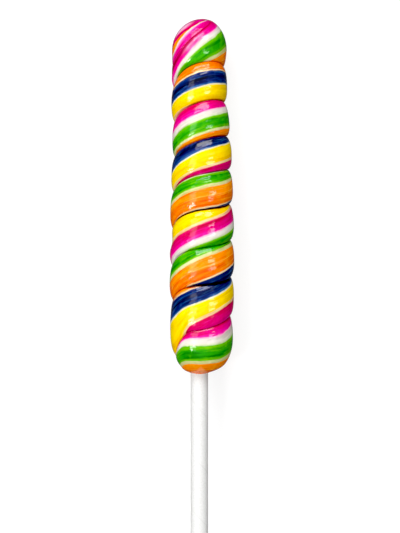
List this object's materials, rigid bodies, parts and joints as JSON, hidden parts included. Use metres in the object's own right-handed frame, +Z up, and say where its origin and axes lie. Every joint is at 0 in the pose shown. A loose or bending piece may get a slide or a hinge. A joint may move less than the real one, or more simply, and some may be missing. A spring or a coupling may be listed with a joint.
{
  "type": "swirl lollipop",
  "caption": "Hard candy on a stick: a glossy striped rope of boiled sugar, wound in touching turns round a rolled paper stick into a long rounded bar, for licking.",
  "frame": {"origin": "Bottom centre of the bounding box of the whole lollipop, on the table under it, as it lies.", "axes": "+Z is up, out of the side that is shown. +Y runs from the stick's free end to the candy's rounded tip. +X is its right side, seen from above with the tip away from the viewer."},
  "size_m": [0.0188, 0.2022, 0.019],
  "materials": {
    "hard_candy": "glossy",
    "rolled_paper": "matte"
  },
  "bodies": {
    "root": {"candy": "hard_candy", "stick": "rolled_paper"}
  },
  "joints": []
}
